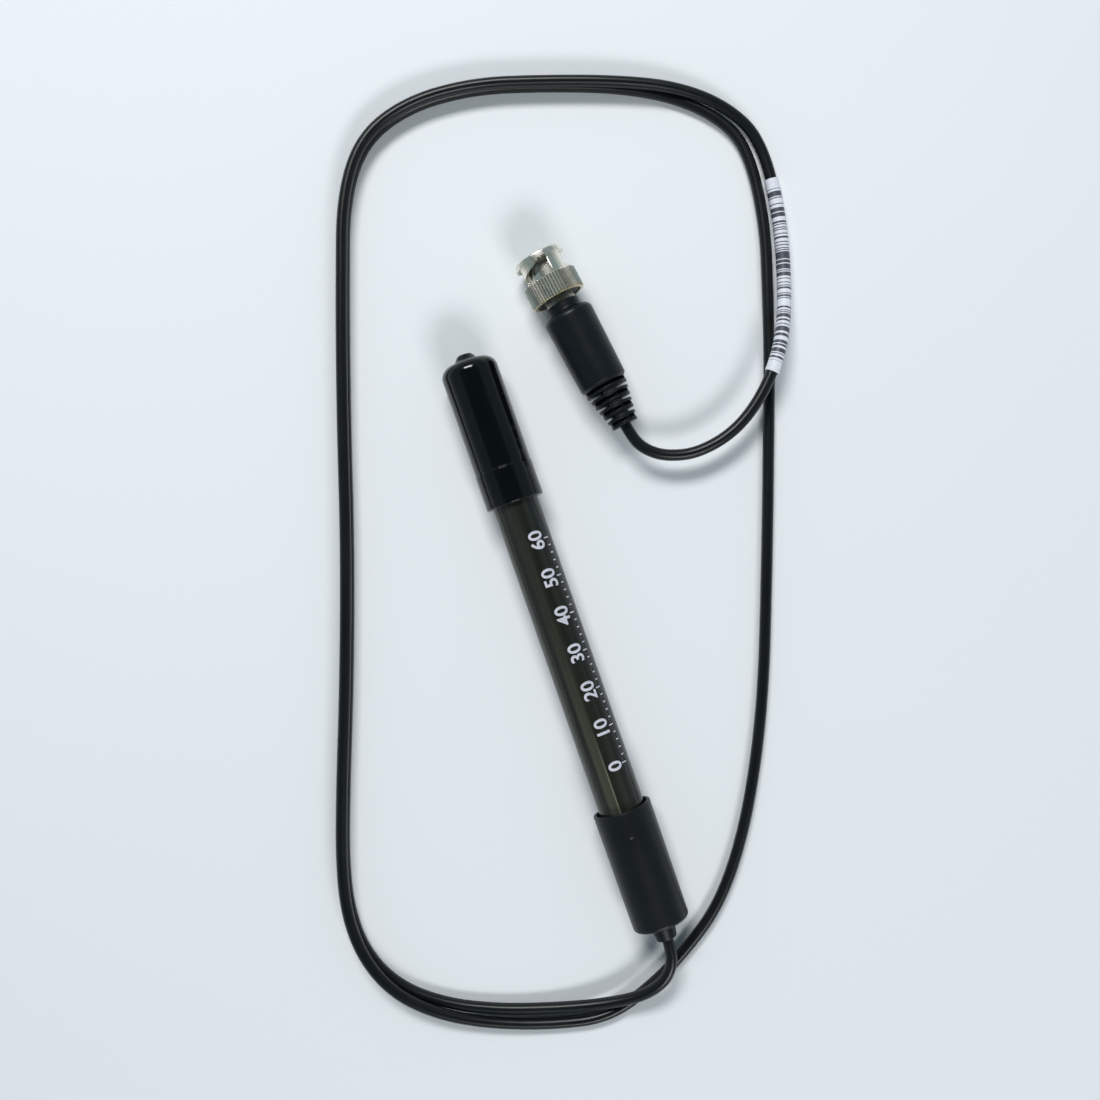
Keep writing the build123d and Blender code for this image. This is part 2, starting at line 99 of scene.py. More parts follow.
def gridPiece(name, points, material, withMap=None):
    # points is a grid, rows along and columns round; quads join each point to its neighbours
    rows, columns = points.shape[:2]
    index = np.arange(rows * columns).reshape(rows, columns)
    right = np.roll(index, -1, axis=1)
    quads = np.stack([index[:-1], right[:-1], right[1:], index[1:]], axis=-1).reshape(-1, 4)
    mesh = bpy.data.meshes.new(name)
    mesh.from_pydata(points.reshape(-1, 3).tolist(), [], quads.tolist())
    if withMap is not None:
        rowShare, columnShare = np.linspace(0, withMap[1], rows), np.arange(columns + 1) / columns
        along, around = np.meshgrid(rowShare, columnShare, indexing="ij")
        corners = np.stack([around * withMap[0], along], axis=-1)
        uv = np.stack([corners[:-1, :-1], corners[:-1, 1:], corners[1:, 1:], corners[1:, :-1]], axis=2)
        layer = mesh.uv_layers.new(name="wrap")
        layer.data.foreach_set("uv", uv.reshape(-1).astype(np.float32))
    piece = bpy.data.objects.new(name, mesh)
    bpy.context.scene.collection.objects.link(piece)
    closeAndTurnOut(mesh)
    mesh.shade_smooth()
    mesh.materials.append(material)
    return piece


def closeAndTurnOut(mesh, gap=1e-7):
    # poles and seams are joined, flat leftovers go, and faces point outwards
    work = bmesh.new()
    work.from_mesh(mesh)
    bmesh.ops.remove_doubles(work, verts=work.verts, dist=gap)
    bmesh.ops.dissolve_degenerate(work, dist=gap, edges=work.edges)
    bmesh.ops.recalc_face_normals(work, faces=work.faces)
    work.to_mesh(mesh)
    work.free()


def turnedPiece(name, place, line, material, around, swell):
    # a profile of (radius, station) points turned round a place's axis; swell(angle, station, radius) adds to
    # the radius in mm
    angle = np.arange(around)[None, :] / around * 2 * math.pi
    radius = np.repeat(line[:, :1], around, axis=1)
    station = np.repeat(line[:, 1:], around, axis=1)
    radius = np.where(radius > 1e-6, radius + swell(angle, station, radius), radius)
    return gridPiece(name, roundTheAxis(place, radius, angle, station), material)


def softened(nodeName, widthMm, material, sharpDegrees):
    # a node's own shape with its corners joined and its sharp edges broken by a narrow bevel
    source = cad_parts[nodeName]
    spots = np.empty(len(source.data.vertices) * 3)
    source.data.vertices.foreach_get("co", spots)
    turnTo = np.array(source.matrix_world)
    spots = spots.reshape(-1, 3) @ turnTo[:3, :3].T + turnTo[:3, 3]
    corners = np.empty(len(source.data.loops), np.int64)
    source.data.loops.foreach_get("vertex_index", corners)
    name = "soft" + "".join(w.capitalize() for w in nodeName.split("_"))
    mesh = bpy.data.meshes.new(name)
    mesh.from_pydata(spots.tolist(), [], corners.reshape(-1, 3).tolist())
    closeAndTurnOut(mesh, 2e-6)
    mesh.shade_smooth()
    mesh.set_sharp_from_angle(angle=math.radians(sharpDegrees))
    mesh.materials.append(material)
    piece = bpy.data.objects.new(name, mesh)
    bpy.context.scene.collection.objects.link(piece)
    bevel = piece.modifiers.new("edges", "BEVEL")
    bevel.width = widthMm * millimetre
    bevel.segments = 2
    bevel.limit_method = "ANGLE"
    bevel.angle_limit = math.radians(sharpDegrees)
    bevel.harden_normals = True
    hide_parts(nodeName)
    return piece


# shader maths

class Wire:
    # an output socket of a shader node that can be used like a number
    def __init__(self, tree, socket=None):
        self.tree = tree
        self.socket = socket

    def node(self, kind, settings=None, inputs=None, output=0):
        made = self.tree.nodes.new(kind)
        for key, value in (settings or {}).items():
            if key == "stops":
                ramp = made.color_ramp.elements
                while len(ramp) < len(value):
                    ramp.new(0.5)
                for stop, (position, colour) in zip(ramp, value):
                    stop.position = position
                    stop.color = (*colour, 1) if len(colour) == 3 else colour
            else:
                setattr(made, key, value)
        for key, value in (inputs or {}).items():
            if isinstance(value, Wire):
                self.tree.links.new(value.socket, made.inputs[key])
            else:
                made.inputs[key].default_value = value
        return Wire(self.tree, made.outputs[output] if made.outputs else None)

    def maths(self, operation, *values):
        return self.node("ShaderNodeMath", {"operation": operation}, dict(enumerate(values)))

    def __add__(self, other):
        return self.maths("ADD", self, other)

    def __sub__(self, other):
        return self.maths("SUBTRACT", self, other)

    def __mul__(self, other):
        return self.maths("MULTIPLY", self, other)

    def __truediv__(self, other):
        return self.maths("DIVIDE", self, other)

    def __rsub__(self, other):
        return self.maths("SUBTRACT", other, self)

    def __gt__(self, other):
        return self.maths("GREATER_THAN", self, other)

    __radd__ = __add__

    def rise(self, low, high):
        # 0 below low, 1 above high, smooth between
        return self.node(
            "ShaderNodeMapRange", {"interpolation_type": "SMOOTHSTEP"},
            {"Value": self, "From Min": low, "From Max": high})

    def between(self, low, high, soft):
        return self.rise(low - soft, low + soft) * (1 - self.rise(high - soft, high + soft))

    def colours(self, first, second):
        # first colour where self is 0, second where it is 1
        inputs = {"Factor": self, "A": (*first, 1) if isinstance(first, tuple) else first,
                  "B": (*second, 1) if isinstance(second, tuple) else second}
        made = self.tree.nodes.new("ShaderNodeMix")
        made.data_type = "RGBA"
        for key, value in inputs.items():
            kind = "VALUE" if key == "Factor" else "RGBA"
            target = [s for s in made.inputs if s.name == key and s.type == kind][0]
            if isinstance(value, Wire):
                self.tree.links.new(value.socket, target)
            else:
                target.default_value = value
        return Wire(self.tree, [s for s in made.outputs if s.type == "RGBA"][0])

    def objectPlace(self, place=None, stretch=(1, 1, 1)):
        # Object coordinates in mm, or the same along a place's axis: x sideways, y station, z up
        place = place or {"tail": (0, 0, 0), "turnDegrees": 0.0}
        spot = self.node("ShaderNodeTexCoord", output="Object")
        return self.node(
            "ShaderNodeMapping", {"vector_type": "TEXTURE"},
            {"Vector": spot, "Location": tuple(v * millimetre for v in place["tail"]),
             "Rotation": (0, 0, math.radians(place["turnDegrees"])),
             "Scale": tuple(millimetre * s for s in stretch)})

    def axis(self, name):
        return self.node("ShaderNodeSeparateXYZ", inputs={"Vector": self}, output=name)

    def noise(self, scale, detail=2.0, roughness=0.5):
        return self.node(
            "ShaderNodeTexNoise",
            inputs={"Vector": self, "Scale": scale, "Detail": detail, "Roughness": roughness})

    def bump(self, strength, distanceMm):
        return self.node(
            "ShaderNodeBump",
            inputs={"Height": self, "Strength": strength, "Distance": distanceMm * millimetre}, output="Normal")


def finish(name, constants, varying):
    # constants go straight on the shader's sockets; varying(wire) gives the sockets that change over the
    # surface
    material = bpy.data.materials.new(name)
    material.use_nodes = True
    material.node_tree.nodes.clear()
    wire = Wire(material.node_tree)
    shader = wire.node("ShaderNodeBsdfPrincipled", inputs={**constants, **varying(wire)}, output="BSDF")
    wire.node("ShaderNodeOutputMaterial", inputs={"Surface": shader})
    return material


# camera and studio

studio = {
    "cameraAt": (4.40, 24.63, 314.6), "cameraTurn": -19.217, "lens": 39.27,
    "floorColour": (0.80, 0.825, 0.85), "floorSize": 6.0,
    "lamps": [
        {"name": "lampTop", "at": (0.02, 0.66, 0.80), "aim": (0.0, 0.03, 0.0), "size": (0.50, 0.22),
         "watts": 7.4},
        {"name": "lampFoot", "at": (0.06, -0.90, 0.80), "aim": (0.0, 0.0, 0.0), "size": (0.60, 0.26),
         "watts": 6.4}],
    "skyStops": [
        (0.0, (0.60, 0.66, 0.70)), (0.12, (0.30, 0.37, 0.41)), (0.30, (0.20, 0.27, 0.30)),
        (0.73, (0.19, 0.26, 0.29)), (0.81, (0.05, 0.065, 0.072)), (1.0, (0.02, 0.028, 0.032))]}


def makeStudio(values):
    scene = bpy.context.scene
    camera = bpy.data.cameras.new("camera")
    camera.sensor_width = 36
    camera.lens = values["lens"]
    camera.clip_start = 0.01
    holder = bpy.data.objects.new("camera", camera)
    holder.location = [v * millimetre for v in values["cameraAt"]]
    holder.rotation_euler = (0, 0, math.radians(values["cameraTurn"]))
    scene.collection.objects.link(holder)
    scene.camera = holder
    scene.view_settings.view_transform = "Standard"

    for lamp in values["lamps"]:
        light = bpy.data.lights.new(lamp["name"], "AREA")
        light.shape = "RECTANGLE"
        light.size, light.size_y = lamp["size"]
        light.energy = lamp["watts"]
        stand = bpy.data.objects.new(lamp["name"], light)
        stand.location = lamp["at"]
        stand.rotation_euler = (Vector(lamp["aim"]) - Vector(lamp["at"])).to_track_quat("-Z", "Y").to_euler()
        scene.collection.objects.link(stand)

    world = bpy.data.worlds.new("sky")
    world.use_nodes = True
    world.node_tree.nodes.clear()
    wire = Wire(world.node_tree)
    height = wire.node("ShaderNodeTexCoord", output="Generated").axis("Z")
    sky = wire.node("ShaderNodeValToRGB", {"stops": values["skyStops"]}, {"Fac": height}, "Color")
    light = wire.node("ShaderNodeBackground", inputs={"Color": sky, "Strength": 1.0}, output="Background")
    wire.node("ShaderNodeOutputWorld", inputs={"Surface": light})
    scene.world = world

    half = values["floorSize"] / 2
    mesh = bpy.data.meshes.new("floor")
    corners = [(-half, -half, 0), (half, -half, 0), (half, half, 0), (-half, half, 0)]
    mesh.from_pydata(corners, [], [(0, 1, 2, 3)])
    floor = bpy.data.objects.new("floor", mesh)
    scene.collection.objects.link(floor)

    def floorLook(wire):
        cloud = wire.objectPlace().noise(0.008, 3.0)
        red, green, blue = values["floorColour"]
        paler = (min(1, red * 1.02), min(1, green * 1.02), min(1, blue * 1.02))
        return {"Base Color": cloud.colours(values["floorColour"], paler)}

    mesh.materials.append(finish("floorPaint", {"Roughness": 0.85, "Specular IOR Level": 0.2}, floorLook))


makeStudio(studio)
print("studio ready")


# cable

cable = {"radius": 1.5, "length": 1164.0, "layHeight": 1.52, "stackHeight": 4.64, "labelHeight": 1.92,
         "humpHeight": 7.5}

lay, stacked = cable["layHeight"], cable["stackHeight"]
labelLay, hump = cable["labelHeight"], cable["humpHeight"]
cableRoute = [
    (0, -79.0, 7.6), (0, -82.5, 7.6), (-1.5, -86.7, 7.4), (-5.0, -90.0, 6.7), (-11.5, -91.9, 5.0),
    (-21.8, -91.2, 3.0), (-35.1, -88.2, 1.7), (-48.7, -83.7), (-60.6, -77.9), (-70.2, -69.8), (-75.5, -59.2),
    (-76.0, -46.8), (-72.7, -33.0), (-66.0, -14.7), (-58.1, 5.8), (-50.6, 26.4), (-43.4, 47.4), (-36.6, 68.9),
    (-30.0, 88.9), (-23.4, 108.3), (-16.2, 128.4), (-6.6, 141.2), (7.7, 146.0), (25.4, 144.8), (42.9, 139.4),
    (60.1, 133.1), (73.5, 125.8), (83.0, 116.8), (87.6, 106.8), (85.6, 87.2), (79.6, 67.6), (74.6, 52.0),
    (68.6, 35.5), (61.4, 15.5), (53.6, -5.5), (45.8, -26.0), (36.8, -45.6), (26.6, -63.4), (15.8, -77.0),
    (4.2, -85.2), (-7.8, -91.4),
    (-21.5, -95.6), (-36.2, -92.2), (-50.0, -86.9, 2.2), (-61.9, -80.0, 3.4), (-71.2, -70.8, 4.4),
    (-75.9, -59.3, stacked), (-76.2, -46.7, stacked), (-72.8, -32.9, stacked), (-66.2, -14.6, stacked),
    (-58.3, 5.9, stacked), (-50.8, 26.5, stacked), (-43.6, 47.4, stacked), (-36.8, 69.0, stacked),
    (-30.2, 89.0, stacked), (-23.5, 108.4, stacked), (-16.3, 128.5, stacked), (-6.7, 141.4, stacked),
    (7.7, 146.2, stacked), (25.4, 145.0, stacked), (43.0, 139.6, stacked), (60.3, 133.5, stacked),
    (74.5, 127.2, 4.1), (85.4, 118.6, 3.0), (91.6, 107.5, labelLay),
    (89.6, 86.5, labelLay), (83.6, 66.0, 2.7), (77.0, 53.5, hump),
    (68.5, 43.8, hump), (59.0, 37.6, 7.0), (48.4, 35.6, 6.8), (40.6, 37.5, 6.9), (36.1, 40.7, 7.1),
    (33.791, 44.644, 7.2), (33.2, 48.6, 7.2)]


def jacketLook(wire):
    spot = wire.objectPlace()
    haze = spot.noise(0.09, 3.0)
    grain = spot.noise(2.2, 4.0, 0.6)
    dust = spot.noise(1.4, 1.0).rise(0.70, 0.78)
    return {
        "Base Color": (haze * 0.5 + dust * 0.3).colours((0.0035, 0.005, 0.0058), (0.011, 0.0135, 0.015)),
        "Roughness": 0.24 + haze * 0.12 + dust * 0.2,
        "Normal": (grain * 0.7 + haze * 0.3).bump(0.25, 0.05)}


cableJacket = finish("cableJacket", {"IOR": 1.52, "Specular IOR Level": 0.3}, jacketLook)


def makeCable(values):
    # one NURBS line through the listed points, with a round section
    curve = bpy.data.curves.new("cableRun", "CURVE")
    curve.dimensions = "3D"
    curve.resolution_u = 10
    spline = curve.splines.new("NURBS")
    spline.points.add(len(cableRoute) - 1)
    route = np.array([(*p, lay)[:3] for p in cableRoute]) * millimetre
    spline.points.foreach_set("co", np.c_[route, np.ones(len(route))].ravel())
    spline.order_u = 3
    spline.use_endpoint_u = True
    piece = bpy.data.objects.new("cableRun", curve)
    bpy.context.scene.collection.objects.link(piece)
    bpy.context.view_layer.update()
    line = bpy.data.meshes.new_from_object(piece)
    path = np.empty(len(line.vertices) * 3, np.float32)
    line.vertices.foreach_get("co", path)
    bpy.data.meshes.remove(line)
    curve.bevel_depth = values["radius"] * millimetre
    curve.bevel_resolution = 5
    curve.use_fill_caps = True
    curve.materials.append(cableJacket)
    return piece, path.reshape(-1, 3).astype(float)


cablePiece, cablePath = makeCable(cable)
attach(cablePiece, "root")
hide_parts("cord")
print("cable laid")


# label wrapped on the cable

label = {"radius": 1.78, "overlapStep": 0.10, "seam": 0.42, "film": 0.12, "from": (90.6, 97.0),
         "to": (72.75, 48.65), "around": 72, "ringStep": 0.4, "barWidth": 0.27, "barsAbove": 0.42,
         "blankEnds": 2.8, "barsReach": 0.30}


def wrapAlong(path, start, end, radiusAt, around, step):
    # rings square to the path between the points nearest start and end; radiusAt(turn) gives the section
    first = np.argmin(np.linalg.norm(path[:, :2] - np.array(start) * millimetre, axis=1))
    last = np.argmin(np.linalg.norm(path[:, :2] - np.array(end) * millimetre, axis=1))
    line = path[first:last + 1]
    run = np.r_[0, np.cumsum(np.linalg.norm(np.diff(line, axis=0), axis=1))]
    stations = np.linspace(0, run[-1], int(run[-1] / step) + 1)
    centre = np.stack([np.interp(stations, run, line[:, k]) for k in range(3)], axis=-1)
    along = np.gradient(centre, axis=0)
    along /= np.linalg.norm(along, axis=1, keepdims=True)
    side = np.cross(along, (0, 0, 1))
    side /= np.linalg.norm(side, axis=1, keepdims=True)
    up = np.cross(side, along)
    turn = np.arange(around) / around * 2 * math.pi
    radius = radiusAt(turn)[None, :, None]
    ring = np.cos(turn)[None, :, None] * up[:, None] + np.sin(turn)[None, :, None] * side[:, None]
    return centre[:, None] + radius * ring, run[-1]


def labelLook(wire):
    spread = wire.node("ShaderNodeUVMap", {"uv_map": "wrap"}, output="UV")
    around, along = spread.axis("X"), spread.axis("Y") * 1000
    count = along / label["barWidth"]
    cells = count.maths("FLOOR", count)
    bars = wire.node("ShaderNodeTexWhiteNoise", {"noise_dimensions": "1D"}, {"W": cells}) > label["barsAbove"]
    inside = along.between(label["blankEnds"], label["lengthMm"] - label["blankEnds"], 0.05)
    fromHalf = around - 0.5
    fromTop = 0.5 - fromHalf.maths("ABSOLUTE", fromHalf)
    sideways = 1 - fromTop.rise(label["barsReach"] - 0.004, label["barsReach"] + 0.004)
    ink = bars * inside * sideways
    spot = wire.objectPlace()
    fibre = spot.noise(3.0, 4.0, 0.6)
    paper = spot.noise(0.15, 2.0).colours((0.66, 0.68, 0.76), (0.80, 0.81, 0.86))
    return {
        "Base Color": (ink * (0.85 + fibre * 0.15)).colours(paper, (0.016, 0.018, 0.035)),
        "Roughness": 0.42 + fibre * 0.15 - ink * 0.08,
        "Normal": fibre.bump(0.15, 0.03)}


def makeLabel(values):
    def section(turn):
        # a wrap whose end lies over its start, so the radius steps down where they meet
        share = (turn / (2 * math.pi) + values["seam"]) % 1
        return (values["radius"] + values["overlapStep"] * share) * millimetre

    def innerSection(turn):
        return section(turn) - values["film"] * millimetre

    ends = values["from"], values["to"]
    rings = values["around"], values["ringStep"] * millimetre
    skin, length = wrapAlong(cablePath, *ends, section, *rings)
    inner, _ = wrapAlong(cablePath, *ends, innerSection, *rings)
    values["lengthMm"] = length / millimetre
    closed = np.concatenate([inner[:1], skin, inner[::-1]])
    piece = gridPiece("cableLabel", closed, finish("labelFilm", {"IOR": 1.45}, labelLook), withMap=(1, 1))
    layer = piece.data.uv_layers["wrap"]
    uv = np.empty(len(layer.data) * 2, np.float32)
    layer.data.foreach_get("uv", uv)
    uv = uv.reshape(-1, 2)
    rows = len(closed) - 1
    row = uv[:, 1] * rows
    last = len(skin) - 1
    uv[:, 1] = np.clip(np.where(row <= last + 1, row - 1, 2 * last + 1 - row), 0, last) / last * length
    layer.data.foreach_set("uv", uv.ravel())
    return piece


labelPiece = makeLabel(label)
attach(labelPiece, "root")
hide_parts("cord_label")
print("label wrapped")


# finishes of the pieces that come from the solids

def vinylLook(wire):
    spot = wire.objectPlace(probePlace)
    smear = wire.objectPlace(probePlace, (1, 6, 1)).noise(0.35, 4.0, 0.55)
    ripple = spot.noise(0.22, 2.0)
    dust = spot.noise(1.1, 1.0).rise(0.74, 0.79)
    return {
        "Base Color": (smear * 0.4 + dust * 0.6).colours((0.0016, 0.0025, 0.0029), (0.006, 0.0085, 0.0095)),
        "Roughness": 0.06 + smear * 0.10 + dust * 0.3,
        "Normal": ripple.bump(0.12, 0.25)}


def satinLook(place, base, edge, low, high, grainSize, grainDepth):
    def look(wire):
        spot = wire.objectPlace(place)
        cloud = spot.noise(0.18, 4.0, 0.55)
        grain = spot.noise(grainSize, 3.0, 0.6)
        scuff = wire.objectPlace(place, (1, 0.25, 1)).noise(0.8, 5.0, 0.7).rise(0.62, 0.72)
        return {
            "Base Color": (cloud * 0.7 + scuff * 0.3).colours(base, edge),
            "Roughness": low + cloud * (high - low) + scuff * 0.06,
            "Normal": (grain + cloud * 0.4).bump(0.35, grainDepth)}
    return look


def metalLook(place, base, tint, low, high, rings, knurl=None):
    def look(wire):
        spot = wire.objectPlace(place)
        stain = spot.noise(0.35, 4.0, 0.6)
        turned = spot.maths("SINE", spot.axis("Y") * rings)
        fine = spot.noise(5.0, 3.0, 0.7)
        colour = stain.rise(0.35, 0.75).colours(base, tint)
        if knurl is not None:
            # painted shade in the grooves of the knurl, and a rear edge where the plating is thin and brass
            # shows
            across = spot.maths("POWER", spot.axis("X"), 2) + spot.maths("POWER", spot.axis("Z"), 2)
            radius = across.maths("SQRT", across)
            paintedGrooveShade = radius.between(knurl["floor"] - 0.3, knurl["floor"] + 0.14, 0.08)
            ring = spot.axis("Y").between(knurl["from"] + 0.2, knurl["to"] - 0.1, 0.15)
            # the groove floors are mixed towards dark olive grey: painted shade in the knurl's recesses
            colour = (paintedGrooveShade * ring * 0.6).colours(colour, (0.24, 0.23, 0.18))
            rearEdge = spot.axis("Y").between(knurl["from"] - 0.5, knurl["from"] + 0.5, 0.3)
            colour = (rearEdge * (0.35 + stain * 0.6)).colours(colour, (0.62, 0.50, 0.26))
        return {
            "Base Color": colour,
            "Roughness": low + stain * (high - low) + fine * 0.05,
            "Normal": (turned * 0.3 + fine * 0.7).bump(0.12, 0.02)}
    return look


def plainLook(base, second, low, high, scale=0.6):
    def look(wire):
        spot = wire.objectPlace()
        cloud = spot.noise(scale, 3.0)
        fine = spot.noise(4.0, 3.0, 0.6)
        return {
            "Base Color": cloud.colours(base, second),
            "Roughness": low + cloud * (high - low),
            "Normal": fine.bump(0.2, 0.03)}
    return look


def tubeLook(wire):
    spot = wire.objectPlace(probePlace)
    side, station = spot.axis("X"), spot.axis("Y")
    streaks = wire.objectPlace(probePlace, (1, 40, 1)).noise(0.45, 4.0, 0.6)
    hairline = wire.objectPlace(probePlace, (1, 60, 1)).noise(2.2, 2.0)
    # a paler band left of the middle, strongest at the rear: a painted refraction highlight of the pale
    # surroundings seen through the tube
    paintedRefractionStripe = side.between(-2.9, -0.6, 0.5) * (0.62 - station.rise(40, 92) * 0.5)
    # a thin light line at the stripe's edge nearest the middle, fading out towards the front: a painted
    # highlight
    paintedHighlightLine = side.between(-0.75, -0.45, 0.12) * (1 - station.rise(42, 60))
    olive = streaks.rise(0.3, 0.7).colours((0.013, 0.015, 0.012), (0.034, 0.035, 0.026))
    olive = paintedRefractionStripe.colours(olive, (0.085, 0.088, 0.062))
    olive = (paintedHighlightLine * 0.7).colours(olive, (0.22, 0.23, 0.17))
    return {
        # the tube's +X side is mixed towards near black: painted shade on that side
        "Base Color": (side.rise(1.5, 5.5) * 0.65).colours(olive, (0.008, 0.010, 0.010)),
        "Roughness": 0.05 + hairline * 0.06,
        "Alpha": 0.90 - streaks * 0.10,
        "Normal": (streaks * 0.6 + hairline * 0.4).bump(0.08, 0.1)}


def plastic(level, *look):
    return {"IOR": 1.50, "Specular IOR Level": level}, satinLook(*look, 0.03)


def metal(*look):
    return {"Metallic": 1.0}, metalLook(*look)


def plain(ior, *look):
    return {"IOR": ior}, plainLook(*look)


def clear(ior, *look):
    return {"IOR": ior, "Transmission Weight": 0.9}, plainLook(*look)


solidFinishes = {
    "cap_vinyl": ({"IOR": 1.53, "Specular IOR Level": 0.36}, vinylLook),
    "tinted_tube": ({"IOR": 1.49}, tubeLook),
    "cap_plastic": plastic(
        0.26, probePlace, (0.0045, 0.0065, 0.0078), (0.0095, 0.0125, 0.0145), 0.30, 0.42, 3.0),
    "relief_rubber": plastic(
        0.26, probePlace, (0.004, 0.0055, 0.0065), (0.009, 0.011, 0.0125), 0.32, 0.46, 3.0),
    "boot_plastic": plastic(
        0.24, plugPlace, (0.0032, 0.0055, 0.0075), (0.0075, 0.011, 0.0145), 0.30, 0.44, 3.5),
    "nickel_plate": metal(plugPlace, (0.76, 0.75, 0.67), (0.64, 0.62, 0.51), 0.13, 0.28, 30),
    "spring_steel": metal(plugPlace, (0.5, 0.5, 0.5), (0.4, 0.4, 0.4), 0.25, 0.4, 20),
    "dark_steel": metal(plugPlace, (0.10, 0.10, 0.10), (0.06, 0.055, 0.05), 0.3, 0.5, 20),
    "gold_plate": metal(plugPlace, (0.85, 0.66, 0.32), (0.75, 0.56, 0.25), 0.12, 0.25, 40),
    "silver": metal(probePlace, (0.62, 0.60, 0.57), (0.36, 0.34, 0.33), 0.3, 0.5, 5),
    "copper_wire": metal(probePlace, (0.75, 0.48, 0.33), (0.62, 0.36, 0.22), 0.25, 0.4, 8),
    "clear_glass": clear(1.5, (0.92, 0.94, 0.94), (0.86, 0.90, 0.89), 0.02, 0.06),
    "clear_gel": clear(1.34, (0.84, 0.88, 0.87), (0.72, 0.80, 0.78), 0.02, 0.08),
    "dark_gel": plain(1.36, (0.040, 0.038, 0.028), (0.070, 0.066, 0.050), 0.15, 0.3, 0.25),
    "silicone": plain(1.41, (0.62, 0.60, 0.56), (0.52, 0.49, 0.45), 0.4, 0.55),
    "white_ceramic": plain(1.6, (0.86, 0.85, 0.80), (0.74, 0.72, 0.66), 0.6, 0.8, 2.0),
    "dark_resin": plain(1.55, (0.020, 0.020, 0.021), (0.035, 0.034, 0.033), 0.12, 0.25, 0.4),
    "white_insulation": plain(1.38, (0.84, 0.84, 0.80), (0.74, 0.73, 0.68), 0.35, 0.5),
    "splice_sleeve": plain(1.5, (0.03, 0.03, 0.035), (0.05, 0.05, 0.055), 0.35, 0.5)}

madeFinishes = {"cable_jacket": cableJacket}
for slotName, recipe in solidFinishes.items():
    words = slotName.split("_")
    title = words[0] + "".join(w.capitalize() for w in words[1:])
    madeFinishes[slotName] = finish(title, *recipe)
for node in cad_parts.values():
    for materialSlot in node.material_slots:
        name = materialSlot.material.name.split(".")[0] if materialSlot.material else ""
        if name in madeFinishes:
            materialSlot.material = madeFinishes[name]
print("finishes on the solids")


# protective cap: dipped in soft vinyl, so its skin swells and sinks a little

tipCap = {"mouth": 117.9, "length": 40.1, "radius": 7.45, "collarRadius": 7.60, "collarLength": 9.0,
          "collarStep": 0.7, "boreRadius": 6.05, "endWall": 1.9, "shoulderRound": 3.1, "nubRadius": 1.9,
          "nubFoot": 3.3, "nubHeight": 2.0, "nubRound": 1.0, "nubFootRound": 1.6, "swell": 0.035}


def makeTipCap(values):
    mouth, shoulder = values["mouth"], values["mouth"] + values["length"] - values["nubHeight"]
    collarEnd, tip = mouth + values["collarLength"], mouth + values["length"]
    line = roundedLine([
        (0, tip, 0), (values["nubRadius"], tip, values["nubRound"]),
        (values["nubFoot"], shoulder, values["nubFootRound"]),
        (values["radius"], shoulder, values["shoulderRound"]),
        (values["radius"], collarEnd + values["collarStep"], 0.35), (values["collarRadius"], collarEnd, 0.35),
        (values["collarRadius"], mouth, 0.45), (values["boreRadius"], mouth, 0.3),
        (values["boreRadius"], shoulder - values["endWall"], 2.4), (0, shoulder - values["endWall"], 0)], 14)

    def swell(angle, station, radius):
        # two slow waves round the cap and two along it, none inside
        outside = np.clip((radius - values["boreRadius"] - 0.5) / 0.6, 0, 1)
        waves = np.sin(2 * angle + station * 0.11) * 0.5 + np.sin(3 * angle - station * 0.23 + 1.0) * 0.3
        waves = waves + np.sin(station * 0.62 + 0.4) * 0.35
        return -values["swell"] * outside * (0.6 + 0.4 * waves)

    return turnedPiece("tipCap", probePlace, closerPoints(line, 0.8), madeFinishes["cap_vinyl"], 160, swell)


tipCapPiece = makeTipCap(tipCap)
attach(tipCapPiece, "protective_cap")
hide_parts("tip_cap")
print("protective cap made")


# rear cap with its recessed mouth and the dimple of its gate

rearCap = {"back": 4.2, "mouth": 35.5, "backRadius": 7.4, "radius": 7.6, "backRound": 1.0, "lipRound": 0.25,
           "recessRadius": 6.7, "recessDepth": 3.6, "boreRadius": 6.0, "tubeBack": 21.5, "cavityRadius": 5.6,
           "cavityBack": 7.0, "endHoleRadius": 3.3, "dimpleFromMouth": 7.0, "dimpleDepth": 0.14,
           "dimpleRadius": 0.5}


def makeRearCap(values):
    mouth, back = values["mouth"], values["back"]
    floorOfRecess = mouth - values["recessDepth"]
    line = roundedLine([
        (values["endHoleRadius"], back, 0), (values["backRadius"], back, values["backRound"]),
        (values["radius"], mouth, values["lipRound"]), (values["recessRadius"], mouth, values["lipRound"]),
        (values["recessRadius"], floorOfRecess, 0.15), (values["boreRadius"], floorOfRecess, 0),
        (values["boreRadius"], values["tubeBack"], 0), (values["cavityRadius"], values["tubeBack"], 0),
        (values["cavityRadius"], values["cavityBack"], 0), (values["endHoleRadius"], values["cavityBack"], 0),
        (values["endHoleRadius"], back, 0)], 8)

    def swell(angle, station, radius):
        # a round dimple on top, sunk by the bell exp(-(distance / radius)^4)
        outside = np.clip((radius - values["recessRadius"] - 0.4) / 0.2, 0, 1)
        sideways = radius * np.arcsin(np.sin(angle / 2)) * 2
        apart = np.hypot(station - mouth + values["dimpleFromMouth"], sideways)
        return -values["dimpleDepth"] * outside * np.exp(-(apart / values["dimpleRadius"]) ** 4)

    return turnedPiece(
        "rearCap", probePlace, closerPoints(line, 0.2), madeFinishes["cap_plastic"], 240, swell)


rearCapPiece = makeRearCap(rearCap)
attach(rearCapPiece, "root")
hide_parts("rear_cap")
print("rear cap made")


# boot of the plug, with staggered ribs on its tail

